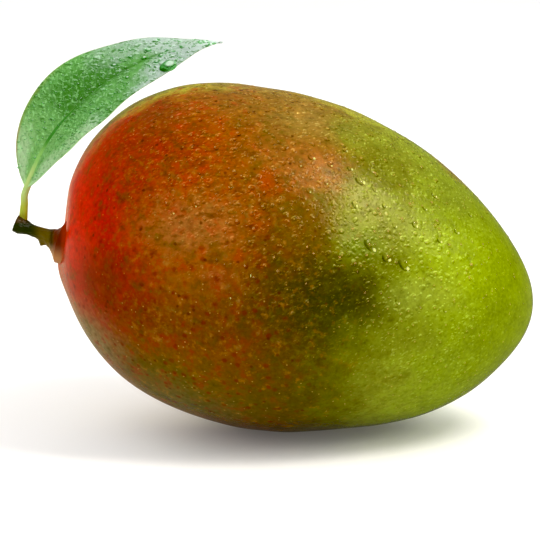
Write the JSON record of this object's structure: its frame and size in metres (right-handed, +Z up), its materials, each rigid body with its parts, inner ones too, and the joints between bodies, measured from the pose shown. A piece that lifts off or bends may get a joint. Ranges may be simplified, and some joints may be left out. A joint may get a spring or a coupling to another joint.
{
  "type": "whole mango with stem and leaf",
  "caption": "Whole ripe mango lying on a small flat resting spot, with a short woody stem and a leaf arching over its shoulder.",
  "frame": {"origin": "middle of the flat resting spot under the fruit, on the surface it lies on", "axes": "+Z up; +X along the fruit from its stem end to its tip; the leaf's upper face looks towards -Y"},
  "size_m": [0.1372, 0.093, 0.1031],
  "materials": {
    "mango_skin": "satin",
    "stem_bark": "matte",
    "leaf_green": "satin"
  },
  "bodies": {
    "root": {"fruit": "mango_skin", "stem": "stem_bark", "leaf": "leaf_green"}
  },
  "joints": []
}
